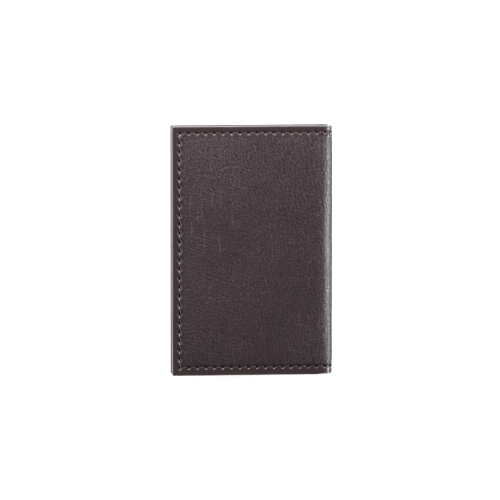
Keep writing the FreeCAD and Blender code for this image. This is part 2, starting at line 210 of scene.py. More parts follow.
def lattice(ix, iy, seed):
    """A fixed random number between 0 and 1 for each pair of whole numbers."""
    n = (ix.astype(np.int64) * 374761393 + iy.astype(np.int64) * 668265263 + seed * 982451653) & 0xFFFFFFFF
    n = ((n ^ (n >> 13)) * 1274126177) & 0xFFFFFFFF
    return ((n ^ (n >> 16)) & 0xFFFFFF) / 0xFFFFFF


def noise(x, y, size, seed):
    """Smooth noise between -1 and 1 whose features are about size millimetres across."""
    x, y = x / size, y / size
    ix, iy = np.floor(x), np.floor(y)
    fx, fy = x - ix, y - iy
    fx, fy = fx * fx * (3 - 2 * fx), fy * fy * (3 - 2 * fy)
    low = lattice(ix, iy, seed) * (1 - fx) + lattice(ix + 1, iy, seed) * fx
    high = lattice(ix, iy + 1, seed) * (1 - fx) + lattice(ix + 1, iy + 1, seed) * fx
    return 2 * (low * (1 - fy) + high * fy) - 1


def pebbles(x, y, size, seed):
    """Height of a pebbled grain between 0, in the creases, and 1, on top of a pebble."""
    x, y = x / size, y / size
    ix, iy = np.floor(x), np.floor(y)
    nearest = np.full(np.shape(x), 9.0)
    second = nearest.copy()
    for dx in (-1, 0, 1):
        for dy in (-1, 0, 1):
            jx, jy = ix + dx, iy + dy
            px = jx + 0.15 + 0.7 * lattice(jx, jy, seed)
            py = jy + 0.15 + 0.7 * lattice(jx, jy, seed + 1)
            distance = np.hypot(x - px, y - py)
            second = np.minimum(second, np.maximum(distance, nearest))
            nearest = np.minimum(nearest, distance)
    return np.clip((second - nearest) / 0.7, 0, 1) ** 0.75


# ---- the fold of the wallet ----
def wrap(s, t, d):
    """Sheet coordinates to places in the row frame, all in millimetres."""
    along = np.minimum(s, S_TOTAL - s)
    angle = np.clip((along - FLAT) / RADIUS, 0, math.pi / 2)
    past = np.clip(along - FLAT - ARC, 0, None)
    x = X_FORE + np.minimum(along, FLAT) + (RADIUS - d) * np.sin(angle)
    z = RADIUS - (RADIUS - d) * np.cos(angle) + past
    return np.stack([x, t + 0 * x, np.where(s > S_MIDDLE, THICK - z, z)], -1)


# ---- sheets ----
def quads(rows, count, ring=True, loop=False, first=0):
    """Faces between rows of points. Ring joins a row's ends, and loop joins the last row to the first."""
    faces = []
    for k in range(rows if loop else rows - 1):
        low, high = first + k * count, first + (k + 1) % rows * count
        for i in range(count if ring else count - 1):
            j = (i + 1) % count
            faces.append((low + i, low + j, high + j, high + i))
    return faces


def lines(low, *spans):
    """Grid lines from low on. Each span is (where it ends, its step)."""
    places = [low]
    for high, step in spans:
        count = max(1, round((high - places[-1]) / step))
        places += list(np.linspace(places[-1], high, count + 1)[1:])
    return np.array(places)


def seam_lines(edge, band, border, fine, plain):
    """Grid lines up the height of the wallet, between -edge and edge, finer along both rows of stitches."""
    low = lines(-edge, (-ROW_T - band, border), (band - ROW_T, fine), (ROW_T - band, plain))
    return np.append(low, lines(ROW_T - band, (ROW_T + band, fine), (edge, border))[1:])


def rolled_edge(value):
    """Turns a circle's sine or cosine into that of a squarer curve."""
    return math.copysign(abs(value) ** EDGE_SQUARENESS, value)


class Sheet:
    """A closed sheet: a fine outer face, rolled or cut sides, and a plain inner face."""

    def __init__(self, s_lines, t_lines, thick, rolled, steps=8, breaks=(), recess=None):
        self.s_lines, self.t_lines = s_lines, t_lines
        self.radius = thick / 2
        self.points = []
        for s in s_lines:
            for t in t_lines:
                self.add_point(s, t, 0.0, (s, t), (0.0, 0.0, 1.0), 1.0)
        self.faces = quads(len(s_lines), len(t_lines), ring=False)
        self.add_sides(rolled, steps)
        self.add_inner_face(breaks, recess)
        columns = np.array(self.points).T
        self.s, self.t, self.d, self.ref_s, self.ref_t = columns[:5]
        self.out, self.weight = columns[5:8].T, columns[8]

    def at(self, i, j):
        """Number of the point where two grid lines cross."""
        return i * len(self.t_lines) + j

    def add_point(self, s, t, d, ref, out, weight):
        """A point, its place in the texture, the way relief moves it, and how much."""
        self.points.append((s, t, d, *ref, *out, weight))
        return len(self.points) - 1

    def rim(self, rolled):
        """The loop round the outer face: (grid point, outward direction), with a fan at rolled corners."""
        last_i, last_j = len(self.s_lines) - 1, len(self.t_lines) - 1
        bottom = [(i, 0) for i in range(last_i + 1)]
        right = [(last_i, j) for j in range(last_j + 1)]
        top = [(i, last_j) for i in range(last_i, -1, -1)]
        left = [(0, j) for j in range(last_j, -1, -1)]
        sides = [(bottom, "low_t", -90), (right, "high_s", 0), (top, "high_t", 90), (left, "low_s", 180)]
        loop = []
        for k, (points, name, angle) in enumerate(sides):
            turn = math.radians(angle)
            way = (math.cos(turn), math.sin(turn)) if name in rolled else (0.0, 0.0)
            loop += [(self.at(*point), way) for point in points]
            if name in rolled and sides[(k + 1) % 4][1] in rolled:
                for fan in (18, 36, 54, 72):
                    turn = math.radians(angle + fan)
                    loop.append((self.at(*points[-1]), (math.cos(turn), math.sin(turn))))
        return loop

    def add_sides(self, rolled, steps):
        """Rings of points from the rim of the outer face down to the inner face."""
        loop = self.rim(rolled)
        rings = [[point for point, way in loop]]
        for step in range(1, steps):
            turn = math.pi * step / steps
            reach = self.radius * rolled_edge(math.sin(turn))
            depth = self.radius * (1 - rolled_edge(math.cos(turn)))
            ring = []
            for point, (way_s, way_t) in loop:
                s, t = self.points[point][:2]
                ref = (s + way_s * self.radius * turn, t + way_t * self.radius * turn)
                out = (way_s * math.sin(turn), way_t * math.sin(turn), math.cos(turn))
                place = (s + way_s * reach, t + way_t * reach, depth)
                ring.append(self.add_point(*place, ref, out, math.cos(turn / 2) ** 2))
            rings.append(ring)
        self.inner = {}
        for point, way in loop:
            if point not in self.inner:
                s, t = self.points[point][:2]
                self.inner[point] = self.add_point(s, t, 2 * self.radius, (s, t), (0.0, 0.0, 0.0), 0.0)
        rings.append([self.inner[point] for point, way in loop])
        for near, far in zip(rings, rings[1:]):
            for k in range(len(loop)):
                after = (k + 1) % len(loop)
                corners = [near[k], near[after], far[after], far[k]]
                kept = [c for n, c in enumerate(corners) if c != corners[n - 1]]
                if len(kept) > 2:
                    self.faces.append(tuple(kept))

    def add_inner_face(self, breaks, recess):
        """A few large faces, parted at the breaks. A recess is (low s, high s, half height, depth)."""
        last_i, last_j = len(self.s_lines) - 1, len(self.t_lines) - 1
        bottom = [self.inner[self.at(i, 0)] for i in range(last_i + 1)]
        top = [self.inner[self.at(i, last_j)] for i in range(last_i + 1)]
        ends = {0: [self.inner[self.at(0, j)] for j in range(1, last_j)]}
        ends[last_i] = [self.inner[self.at(last_i, j)] for j in range(1, last_j)]
        places = [*breaks, *recess[:2]] if recess else breaks
        cuts = sorted({0, last_i, *(int(np.abs(self.s_lines - s).argmin()) for s in places)})
        hollow = None
        if recess:
            hollow = int(np.abs(self.s_lines - recess[0]).argmin())
            far = cuts[cuts.index(hollow) + 1]
            corners = self.add_recess(bottom[hollow : far + 1], top[hollow : far + 1], recess)
            ends[hollow], ends[far] = [corners[0], corners[3]], [corners[1], corners[2]]
        for a, b in zip(cuts, cuts[1:]):
            if a != hollow:
                start, end = ends.get(a, []), ends.get(b, [])
                self.faces.append(tuple(bottom[a : b + 1] + end + top[a : b + 1][::-1] + start[::-1]))

    def add_recess(self, bottom, top, recess):
        """A shallow pocket in the inner face, for the board. Returns its corners."""
        t_half, depth = recess[2:]
        corners = []
        for level in (2 * self.radius, depth):
            for end, t in ((0, -t_half), (-1, -t_half), (-1, t_half), (0, t_half)):
                s = self.points[bottom[end]][0]
                corners.append(self.add_point(s, t, level, (s, t), (0.0, 0.0, 0.0), 0.0))
        a, b, c, d = corners[:4]
        self.faces.append(tuple(bottom + [b, a]))
        self.faces.append(tuple([d, c] + top[::-1]))
        for k in range(4):
            after = (k + 1) % 4
            self.faces.append((corners[k], corners[after], corners[4 + after], corners[4 + k]))
        self.faces.append(tuple(corners[4:]))
        return corners[:4]

    def push(self, height):
        """Moves the outer face and sides outward by a height for each point."""
        move = self.out * (height * self.weight)[:, None]
        self.s = self.s + move[:, 0]
        self.t = self.t + move[:, 1]
        self.d = self.d - move[:, 2]


def make_mesh(name, places, faces, material, flip=False, attributes=None):
    """A smooth shaded object from places in millimetres."""
    if flip:
        faces = [face[::-1] for face in faces]
    mesh = bpy.data.meshes.new(name)
    mesh.from_pydata((np.asarray(places) * MM).tolist(), [], faces)
    mesh.polygons.foreach_set("use_smooth", [True] * len(mesh.polygons))
    for key, values in (attributes or {}).items():
        values = np.asarray(values, np.float32)
        kind = "FLOAT_VECTOR" if values.ndim == 2 else "FLOAT"
        layer = mesh.attributes.new(key, kind, "POINT")
        layer.data.foreach_set("vector" if values.ndim == 2 else "value", values.ravel())
    mesh.materials.append(material)
    made = bpy.data.objects.new(name, mesh)
    bpy.context.scene.collection.objects.link(made)
    return made


def sheet_object(name, sheet, material, place=wrap, flip=False, **attributes):
    attributes["sheet"] = np.stack([sheet.ref_s, sheet.ref_t, sheet.d], -1)
    return make_mesh(name, place(sheet.s, sheet.t, sheet.d), sheet.faces, material, flip, attributes)


# ---- standing in for the imported nodes at each fold ----
def bend(piece, fold, nodes):
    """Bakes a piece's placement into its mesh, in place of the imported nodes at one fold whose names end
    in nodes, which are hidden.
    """
    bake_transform(piece)
    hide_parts(*(f"{part}_{nodes}" for part in FOLD_NODES[fold]))


# ---- relief of the outer leather ----
def seam_depth(s, t):
    """Distance inward from the stitch line, negative on the border outside it."""
    return np.minimum(np.minimum(s, S_TOTAL - s), HALF_Y - np.abs(t)) - SEAM


def row_phase(along):
    """Place along the top and bottom rows, counted in stitches."""
    return np.where(along < ROW_END, (along - SEAM) / ROW_PITCH, (along - ROW_END) / SPINE_PITCH)


def between_holes(s, t):
    """0 beside a needle hole, 1 midway between two holes."""
    along = np.minimum(s, S_TOTAL - s)
    phase = np.where(along < HALF_Y - np.abs(t), (t + ROW_T) / SIDE_PITCH, row_phase(along))
    return np.sin(math.pi * phase) ** 2


def thread_rise(u):
    """Sideways path of a stitch, in millimetres, as it goes from one hole (u = 0) to the next (u = 1)."""
    return -0.5 + 0.8 * fade(u, 0.0, 0.62) + 0.1 * np.sin(math.pi * u)


def side_rise(u):
    """The same for the stitches along the fore edge, which slant less."""
    return 0.5 - 0.6 * fade(u, 0.0, 0.6)


def stitch_groove(s, t):
    """1 under a stitch of the outer thread, 0 away from it."""
    along = np.minimum(s, S_TOTAL - s)
    row_v = np.where(t > 0, t - ROW_T, t + ROW_T)
    in_row = hill(row_v - thread_rise(row_phase(along) % 1.0), 0.36) * (along > SEAM - 0.2)
    side = (t + ROW_T) / SIDE_PITCH
    in_side = hill(along - SEAM - side_rise(side % 1.0), 0.34) * (np.abs(t) < ROW_T + 0.2)
    return np.maximum(in_row, in_side)


def hole_pits(s, t):
    """0 on plain leather, 1 in a needle hole. The holes are pulled open to one side by the thread."""
    along = np.minimum(s, S_TOTAL - s)
    nearest = np.full(np.shape(s), 99.0)
    for hole in SIDE_HOLES:
        reach = ((t - hole) / 0.8) ** 2 + ((along - SEAM - 0.02) / 0.5) ** 2
        nearest = np.minimum(nearest, reach)
    for hole in ROW_HOLES[1:]:
        for row in (-ROW_T, ROW_T):
            reach = ((along - hole) / 0.45) ** 2 + ((t - row - 0.3) / 0.38) ** 2
            nearest = np.minimum(nearest, reach)
    return np.exp(-nearest / 1.25)


def grain_strength(s, t):
    """The pebbled grain is nearly flat on the pressed border and uneven across the leather."""
    inside = 0.42 + 0.58 * fade(seam_depth(s, t), 0.3, 2.2)
    uneven = 0.75 + 0.15 * fade(t, -5, 45)
    uneven += 0.12 * noise(s, t, 17, SEED + 1) + 0.08 * noise(s, t, 5, SEED + 2)
    return inside * uneven


def grain(s, t):
    """Height of the pebbled grain. Its cells stand up at the fore edges and lie down at the spine."""
    drift_s, drift_t = 0.5 * noise(s, t, 2.3, SEED + 3), 0.4 * noise(s, t, 2.3, SEED + 4)
    from_middle = (s - S_MIDDLE) / S_MIDDLE
    stretch = 1 - 0.2 * fade(t, 5, 40)
    across = S_MIDDLE * (0.54 * stretch * from_middle + 0.1 * from_middle**3)
    up = t * (0.68 - 0.12 * from_middle**2) - 0.19 * s + 2.0 * noise(s, t, 31, SEED + 10)
    return pebbles(across - 0.05 * t + drift_s * 0.7, up + drift_t, 0.79, SEED + 5)


def grain_depth(along):
    """Depth of the grain in millimetres: stretched shallow towards the spine, deep again on its curve."""
    return 0.17 - 0.08 * fade(along, 22, 44) * (1 - fade(along, FLAT - 1.5, FLAT + 1.5))


def shoulder(along):
    """The leather starts to roll over before the spine curve, and fills out again on the curve."""
    return 0.4 * fade(along, FLAT + 2.4, FLAT + 6.5) - 0.65 * fade(along, FLAT - 3.2, FLAT + 2.4)


def spine_fullness(along):
    """The top of the spine curve, where the leather stands squarer near both ends of the wallet."""
    return 0.3 * hill(along - FLAT - 3.0, 1.9)


def wrinkles(s, t):
    """Fine creases that run up the front, near the fore edge."""
    across = S_TOTAL - s
    depth = np.zeros(np.shape(s))
    for k, (place, middle, half) in enumerate(WRINKLES):
        wander = 0.5 * noise(t, np.full(np.shape(t), k * 9.7), 8, SEED + 30 + k)
        length = np.clip(1 - ((t - middle) / half) ** 2, 0, 1)
        depth += length * hill(across - place - wander, 0.2)
    return depth


def outer_relief(s, t):
    """Height of the outer leather above its plain skin, in millimetres."""
    inward, along = seam_depth(s, t), np.minimum(s, S_TOTAL - s)
    front = fade(s, S_MIDDLE, S_TOTAL - FLAT)
    back = 1 - fade(s, FLAT, S_MIDDLE)
    crown = (0.3 * front + 0.12 * (1 - front - back)) * (1 - np.exp(-np.clip(inward - 0.3, 0, None) / 3.2))
    swell = 0.12 * front * noise(s, t, 23, SEED + 6) + 0.05 * (1 - back) * noise(s, t, 9, SEED + 7)
    groove = 0.1 * hill(inward, 1.0) + (0.16 + 0.16 * back) * stitch_groove(s, t)
    pucker = 0.05 * between_holes(s, t) * hill(inward - 0.5, 0.9)
    spine = spine_fullness(along) * (1 - hill(t, 36)) + shoulder(along) * (1 - back)
    pressed = 0.05 * hill(inward + SEAM - 1.3, 0.22) * (0.6 + 0.4 * noise(s, t, 11, SEED + 9))
    pebbled = grain_depth(along) * grain_strength(s, t) * (grain(s, t) - 0.6)
    height = crown + swell - groove + pucker + spine - 0.06 * wrinkles(s, t) - pressed + pebbled
    on_table = back * fade(FLAT - s, -1, 1)
    return np.where(on_table > 0, height - np.clip(height, 0, None) * on_table, height)


def outer_leather(fold, s_lines, rolled, recess, material):
    """One piece of the outer leather, for one fold."""
    t_lines = seam_lines(HALF_Y - SKIN / 2, SEAM_BAND, BORDER_GRID, SEAM_GRID, GRID)
    curved = [s for s in s_lines if FLAT - 0.2 < s < S_TOTAL - FLAT + 0.2]
    sheet = Sheet(s_lines, t_lines, SKIN, rolled, 10, curved, recess)
    s, t = sheet.s, sheet.t
    pits = hole_pits(s, t)
    evenness = 0.35 + 0.5 * grain_strength(s, t)
    # Where the creases and wrinkles get the painted highlight. It follows the grain's strength, which grows
    # towards the top.
    crease = np.clip(evenness * (1 - grain(s, t)) + 0.46 * wrinkles(s, t), 0, 1)
    edge = np.clip(seam_depth(s, t) + SEAM, 0, EDGE_MAX)
    normals = outer_normals(sheet)
    sheet.push(outer_relief(s, t) - PIT_DEPTH * pits)
    name = FOLD_PIECES[fold] + "_outer_leather"
    made = sheet_object(name, sheet, material, pit=pits, edge=edge, crease=crease)
    made.data.normals_split_custom_set_from_vertices(normals)
    bend(made, fold, "leather" if recess is None else "cover_leather")


def outer_normals(sheet):
    """Normals for the ends of a piece where the next piece of leather carries on. Zero elsewhere."""
    normals = np.zeros((len(sheet.s), 3))
    count, step = len(sheet.t_lines), 0.05
    for i in (0, len(sheet.s_lines) - 1):
        s = sheet.s_lines[i]
        if s < 1 or s > S_TOTAL - 1:
            continue
        places = []
        for ds, dt in ((step, 0), (-step, 0), (0, step), (0, -step)):
            at_s, at_t = np.full(count, s + ds), sheet.t_lines + dt
            places.append(wrap(at_s, at_t, -outer_relief(at_s, at_t)))
        normal = np.cross(places[2] - places[3], places[0] - places[1])
        first = sheet.at(i, 0)
        normals[first : first + count] = normal / np.linalg.norm(normal, axis=1)[:, None]
    return normals.tolist()


def all_outer_leather(material):
    """The outer leather, with recesses for the boards that are a little wider than the boards."""
    low, high = FLANGE - BOARD_PLAY, BOARD_END + BOARD_PLAY
    recess = (HALF_Y - low, BOARD - 0.02)
    band = (SEAM - SEAM_BAND, BORDER_GRID), (SEAM + SEAM_BAND, SEAM_GRID)
    cover = lines(SKIN / 2, *band, (low, GRID), (high, GRID), (S_STRIP, GRID))
    strip = lines(S_STRIP, (S_MIDDLE, GRID))
    ends = {"low_t", "high_t"}
    outer_leather(0, cover, ends | {"low_s"}, (low, high, *recess), material)
    outer_leather(1, strip, ends, None, material)
    outer_leather(2, (S_TOTAL - strip)[::-1], ends, None, material)
    recess = (S_TOTAL - high, S_TOTAL - low, *recess)
    outer_leather(3, (S_TOTAL - cover)[::-1], ends | {"high_s"}, recess, material)


# ---- sewing thread ----
class Cords:
    """Many short lengths of twisted thread, gathered into one mesh."""

    SIDES = 10

    def __init__(self):
        self.points, self.refs, self.faces = [], [], []

    def add(self, s, t, d, radius, painted_glint):
        """A cord along a path in sheet coordinates, closed at both ends. The last argument is how much
        painted glint, a painted highlight, each point gets.
        """
        s, t, d = (np.asarray(v, float) for v in (s, t, d))
        way = np.stack([np.gradient(s), np.gradient(t), np.gradient(d)], -1)
        way /= np.linalg.norm(way, axis=1)[:, None]
        steps = np.sqrt(np.diff(s) ** 2 + np.diff(t) ** 2 + np.diff(d) ** 2)
        length = np.concatenate([[0], np.cumsum(steps)])
        flat = np.array([s[-1] - s[0], t[-1] - t[0], 0.0])
        across = np.array([-flat[1], flat[0], 0.0]) / np.linalg.norm(flat)
        base = sum(len(points) for points in self.points)
        rings = []
        for k in range(len(s)):
            side = across - way[k] * (across @ way[k])
            side /= np.linalg.norm(side)
            up = np.cross(way[k], side)
            angle = np.arange(self.SIDES) * 2 * math.pi / self.SIDES
            size = radius * (1 + 0.14 * np.cos(2 * angle - length[k] * TWIST))
            ring = np.outer(size * np.cos(angle), side) + np.outer(size * np.sin(angle), up)
            rings.append(np.array([s[k], t[k], d[k]]) + ring)
            turn = angle / (2 * math.pi) - length[k] * TWIST / (4 * math.pi)
            self.refs += [(length[k] + base * 0.37, value, painted_glint[k]) for value in turn]
        self.points.append(np.concatenate(rings))
        self.faces += quads(len(s), self.SIDES, first=base)
        self.faces.append(tuple(range(base, base + self.SIDES))[::-1])
        self.faces.append(tuple(range(base + (len(s) - 1) * self.SIDES, base + len(s) * self.SIDES)))

    def make(self, name, material):
        """The object, placed round the wallet."""
        places = wrap(*np.concatenate(self.points).T)
        return make_mesh(name, places, self.faces, material, attributes={"sheet": np.array(self.refs)})


def stitches(cover):
    """(s, t) of the two ends of each stitch of one cover's half, and whether it runs along a row."""
    found = [((SEAM, a), (SEAM, b), False) for a, b in zip(SIDE_HOLES, SIDE_HOLES[1:])]
    for t in (-ROW_T, ROW_T):
        found += [((a, t), (b, t), True) for a, b in zip(ROW_HOLES, ROW_HOLES[1:])]
    if cover == "front":
        found = [((S_TOTAL - a[0], a[1]), (S_TOTAL - b[0], b[1]), row) for a, b, row in found]
    return found


def thread(side, nodes, stitch, material):
    """A thread through every hole, split where the leather is. Stitch gives the path of one stitch."""
    groups = [Cords() for _ in FOLDS]
    for cover in ("back", "front"):
        for start, end, row in stitches(cover):
            fold = int(np.searchsorted(S_CUTS, min(start[0], end[0]) + 0.01)) - 1
            groups[fold].add(*stitch(cover, start, end, row))
    for fold, cords in enumerate(groups):
        piece = cords.make(f"{FOLD_PIECES[fold]}_{side}_stitches", material)
        bend(piece, fold, nodes)


def straight(start, end, count):
    """Even steps u from 0 to 1, and the (s, t) places of those steps between two holes."""
    u = np.linspace(0, 1, count)
    return u, start[0] + (end[0] - start[0]) * u, start[1] + (end[1] - start[1]) * u


def outer_stitch(cover, start, end, row):
    """One stitch on the outer face: it leaves its hole low, arches, and dives into the next hole."""
    u, s, t = straight(start, end, 21)
    # The last value returned is a painted glint: a painted highlight where the thread leaves its hole.
    if row:
        t = t + thread_rise(u)
        painted_glint = 0.85 * (1 - fade(u, 0.08, 0.2))
    else:
        s = s + side_rise(u) * (1 if cover == "back" else -1)
        painted_glint = 0.5 * hill(u - 0.04, 0.06) + 0.4 * hill(u - 0.76, 0.11)
    on_table = cover == "back" and min(start[0], end[0]) < FLAT + 1
    depth = 0.24 if on_table else 0.1
    d = depth + 0.55 * hill(u, 0.06) + 0.95 * hill(1 - u, 0.17) - 0.03 * np.sin(math.pi * u)
    return s, t, np.maximum(d, 0.23) if on_table else d, OUTER_THREAD, painted_glint


def inner_stitch(cover, start, end, row):
    """One stitch on the inner face, which steps down from pocket to pocket."""
    u, s, t = straight(start, end, 25)
    along = np.minimum(s, S_TOTAL - s)
    mouth, level = (WINDOW_MOUTH, WINDOW_TOP) if cover == "back" else (SHALLOW_MOUTH, SHALLOW_TOP)
    level = level + (CARD_TOP - level) * fade(along, mouth - 0.1, mouth + 0.35)
    level += (BASE - CARD_TOP) * fade(along, CARD_MOUTH - 0.1, CARD_MOUTH + 0.35)
    dive = 0.5 * (hill(u, 0.08) + hill(1 - u, 0.08))
    d = level - 0.03 - dive + 0.04 * np.sin(math.pi * u)
    # The last value is a faint painted highlight along the middle of each inner stitch.
    return s, t, d, INNER_THREAD, 0.14 * hill(u - 0.5, 0.3)


# ---- lining and pockets ----
def inner_place(cover, top):
    """Places a sheet that faces the inside of the wallet, with its visible face at a depth of top."""

    def place(s, t, d):
        return wrap(s if cover == "back" else S_TOTAL - s, t, top - d)

    return place


def inner_relief(s, t, mouth, free_from):
    """Dips along the inner stitches, and the pressed crease beside a pocket's mouth."""
    inward, middle = seam_depth(s, t), between_holes(s, t)
    shown = fade(s, free_from, free_from + 0.4)
    height = -(0.24 - 0.1 * middle) * hill(inward, 0.5) * np.maximum(shown, s < SEAM + 1)
    height = height - 0.045 * hill(mouth - s - 1.7, 0.28)
    height += 0.012 * (noise(s, t, 14, SEED + 11) + 0.5 * noise(s, t, 2.2, SEED + 12) - 1.2) * shown
    flat = fade(mouth - s, 0.4, 2.6) * fade(inward + SEAM, 0.6, 1.6) * shown
    return height - 0.085 * flat * (1 - inner_grain(s, t))


def inner_grain(s, t):
    """Height of the finer grain of the pocket leather."""
    drift = 0.3 * noise(s, t, 2.1, SEED + 16)
    return pebbles(0.8 * s + drift, t + 0.25 * s - drift, 1.15, SEED + 17)


def pocket_panel(name, node, top, mouth, free_from, material):
    """A panel of thin leather, turned under on every side. Another panel covers it as far as free_from."""
    cover = name.split("_")[0]
    rim, band = PANEL / 2, 0.7
    low = LINING_INSET + rim
    s_lines = lines(low, (SEAM - band, 0.3), (SEAM + band, 0.18), (mouth - 2.6, 0.4), (mouth - rim, 0.2))
    t_lines = seam_lines(HALF_Y - low, band, 0.3, 0.18, 0.4)
    sheet = Sheet(s_lines, t_lines, PANEL, {"low_s", "high_s", "low_t", "high_t"})
    sheet.push(inner_relief(sheet.s, sheet.t, mouth, free_from))
    edge = np.minimum(mouth - sheet.s, np.minimum(sheet.s, HALF_Y - np.abs(sheet.t)) - LINING_INSET)
    looks = {"edge": np.clip(edge, 0, EDGE_MAX), "crease": 1 - inner_grain(sheet.s, sheet.t)}
    made = sheet_object(name + "_panel", sheet, material, inner_place(cover, top), cover == "back", **looks)
    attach(made, cover + "_cover")
    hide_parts(node)


def rounded_profile(low, high, depth_low, depth_high, radius):
    """A small rounded rectangle of (inset, depth) points."""
    left, right, near, far = low + radius, high - radius, depth_low + radius, depth_high - radius
    points = []
    for inset, depth, start in ((right, far, 0), (left, far, 90), (left, near, 180), (right, near, 270)):
        for turn in (0, 30, 60, 90):
            angle = math.radians(start + turn)
            points.append((inset + radius * math.cos(angle), depth + radius * math.sin(angle)))
    return points


def hem(name, floor, top, mouth, material):
    """The folded leather under the three sewn sides of a pocket, which makes room for a card."""
    cover = name.split("_")[0]
    profile = rounded_profile(LINING_INSET + 0.12, HEM, floor, top - PANEL, 0.2)
    count, end = len(profile), mouth - 0.3
    points = []
    for along, side in ((end, -1), (None, -1), (None, 1), (end, 1)):
        points += [(along or inset, side * (HALF_Y - inset), depth) for inset, depth in profile]
    faces = [face[::-1] for face in quads(4, count)]
    faces += [tuple(range(count)), tuple(range(3 * count, 4 * count))[::-1]]
    points = np.array(points)
    s = points[:, 0] if cover == "back" else S_TOTAL - points[:, 0]
    places = wrap(s, points[:, 1], points[:, 2])
    made = make_mesh(name + "_hem", places, faces, material, cover != "back", {"sheet": points})
    made.data.set_sharp_from_angle(angle=math.radians(40))
    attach(made, cover + "_cover")


def eighth(centre, radius, start):
    """Points over an eighth of a circle, from an angle in degrees, without the last point."""
    angles = np.radians(start + 45 * np.arange(CORNER_POINTS) / CORNER_POINTS)
    return centre + radius * np.column_stack([np.cos(angles), np.sin(angles)])


def rounded_loop(low_s, high_s, half_t, radius, counts):
    """A rounded rectangle of (s, t) points that starts in the middle of a corner."""
    low, high, top = low_s + radius, high_s - radius, half_t - radius
    centres = [np.array(centre) for centre in ((low, -top), (high, -top), (high, top), (low, top))]
    points = []
    for k, start in enumerate((180, 270, 0, 90)):
        here, there = centres[k], centres[(k + 1) % 4]
        turn = math.radians(start + 90)
        offset = radius * np.array([math.cos(turn), math.sin(turn)])
        share = np.arange(counts[k % 2])[:, None] / counts[k % 2]
        points.append(eighth(here, radius, start + 45))
        points.append(here + (there - here) * share + offset)
        points.append(eighth(there, radius, start + 90))
    return np.concatenate(points)


def ring_sheet(inner, outer, thick, rings, steps, relief):
    """A flat sheet between two loops, rounded on both edges. Returns points, references and faces."""
    radius = thick / 2
    away = outer - inner
    away /= np.linalg.norm(away, axis=1)[:, None]
    loops, refs = [], []

    def add(place, depth, ref):
        loops.append(np.column_stack([place, depth + np.zeros(len(place))]))
        refs.append(np.column_stack([ref, np.zeros(len(ref))]))

    for f in np.linspace(0, 1, rings + 1):
        place = inner + (outer - inner) * f
        add(place, -relief(place[:, 0], place[:, 1]), place)
    for edge, way in ((outer, loop_normals(outer)), (inner, -loop_normals(inner))):
        for step in range(1, steps):
            turn = math.pi * step / steps if edge is outer else math.pi * (1 - step / steps)
            reach, depth = radius * math.sin(turn), radius * (1 - math.cos(turn))
            add(edge + way * reach, depth, edge + way * radius * turn)
        if edge is outer:
            add(outer, thick, outer)
            add(inner, thick, inner)
    faces = quads(len(loops), len(inner), loop=True)
    return np.concatenate(loops), np.concatenate(refs), faces


def loop_normals(loop):
    """Outward unit vectors of a loop that runs anticlockwise."""
    way = np.roll(loop, -1, 0) - np.roll(loop, 1, 0)
    normal = np.column_stack([way[:, 1], -way[:, 0]])
    return normal / np.maximum(np.linalg.norm(normal, axis=1), 1e-9)[:, None]


def ring_object(name, node, slot, loops, thick, rings, relief, top, material):
    """A ring sheet in the back cover, in place of a node."""
    points, refs, faces = ring_sheet(*loops, thick, rings, 8, relief)
    s, t = points[:, 0], points[:, 1]
    edge = np.minimum(WINDOW_MOUTH - s, seam_depth(s, t) + SEAM - LINING_INSET)
    attributes = {"sheet": refs, "edge": np.clip(edge, 0, EDGE_MAX), "crease": 1 - inner_grain(s, t)}
    made = make_mesh(name, wrap(s, t, top - points[:, 2]), faces, material, attributes=attributes)
    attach(made, "back_cover")
    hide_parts(node)


def window_frame(material):
    """The leather frame of the window pocket."""
    rim, low, high = PANEL / 2, WINDOW_LOW, WINDOW_HIGH
    counts = (110, 190)
    border = LINING_INSET + rim
    inner = rounded_loop(low - rim, high + rim, WINDOW_HALF + rim, WINDOW_CORNER, counts)
    outer = rounded_loop(border, WINDOW_MOUTH - rim, HALF_Y - border, 0.3, counts)

    def relief(s, t):
        window = np.minimum(np.minimum(s - low, high - s), WINDOW_HALF - np.abs(t))
        return inner_relief(s, t, WINDOW_MOUTH, 0) - 0.04 * hill(window + 1.5, 0.3)

    names = ("window_frame_leather", "back_window_frame", "pocket_leather")
    ring_object(*names, (inner, outer), PANEL, 40, relief, WINDOW_TOP, material)


def window_film(material):
    """The clear film, with a slot for the thumb."""
    node_low, node_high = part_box("back_window_film")
    low, high = node_low.x / MM - X_FORE, node_high.x / MM - X_FORE
    rim, radius = (FILM_TOP - FILM_LOW) / 2, THUMB_RADIUS
    counts = (30, 60)
    inner = rounded_loop(THUMB_MIDDLE - radius, THUMB_MIDDLE + radius, THUMB_HALF, radius - 0.01, counts)
    outer = rounded_loop(low + rim, high - rim, node_high.y / MM - rim, 0.2, counts)

    def relief(s, t):
        return 0.02 * noise(s, t, 12, SEED + 14) * fade(high - s, 0, 6) - 0.02

    names = ("window_film_clear", "back_window_film", "clear_film")
    ring_object(*names, (inner, outer), 2 * rim, 14, relief, FILM_TOP, material)


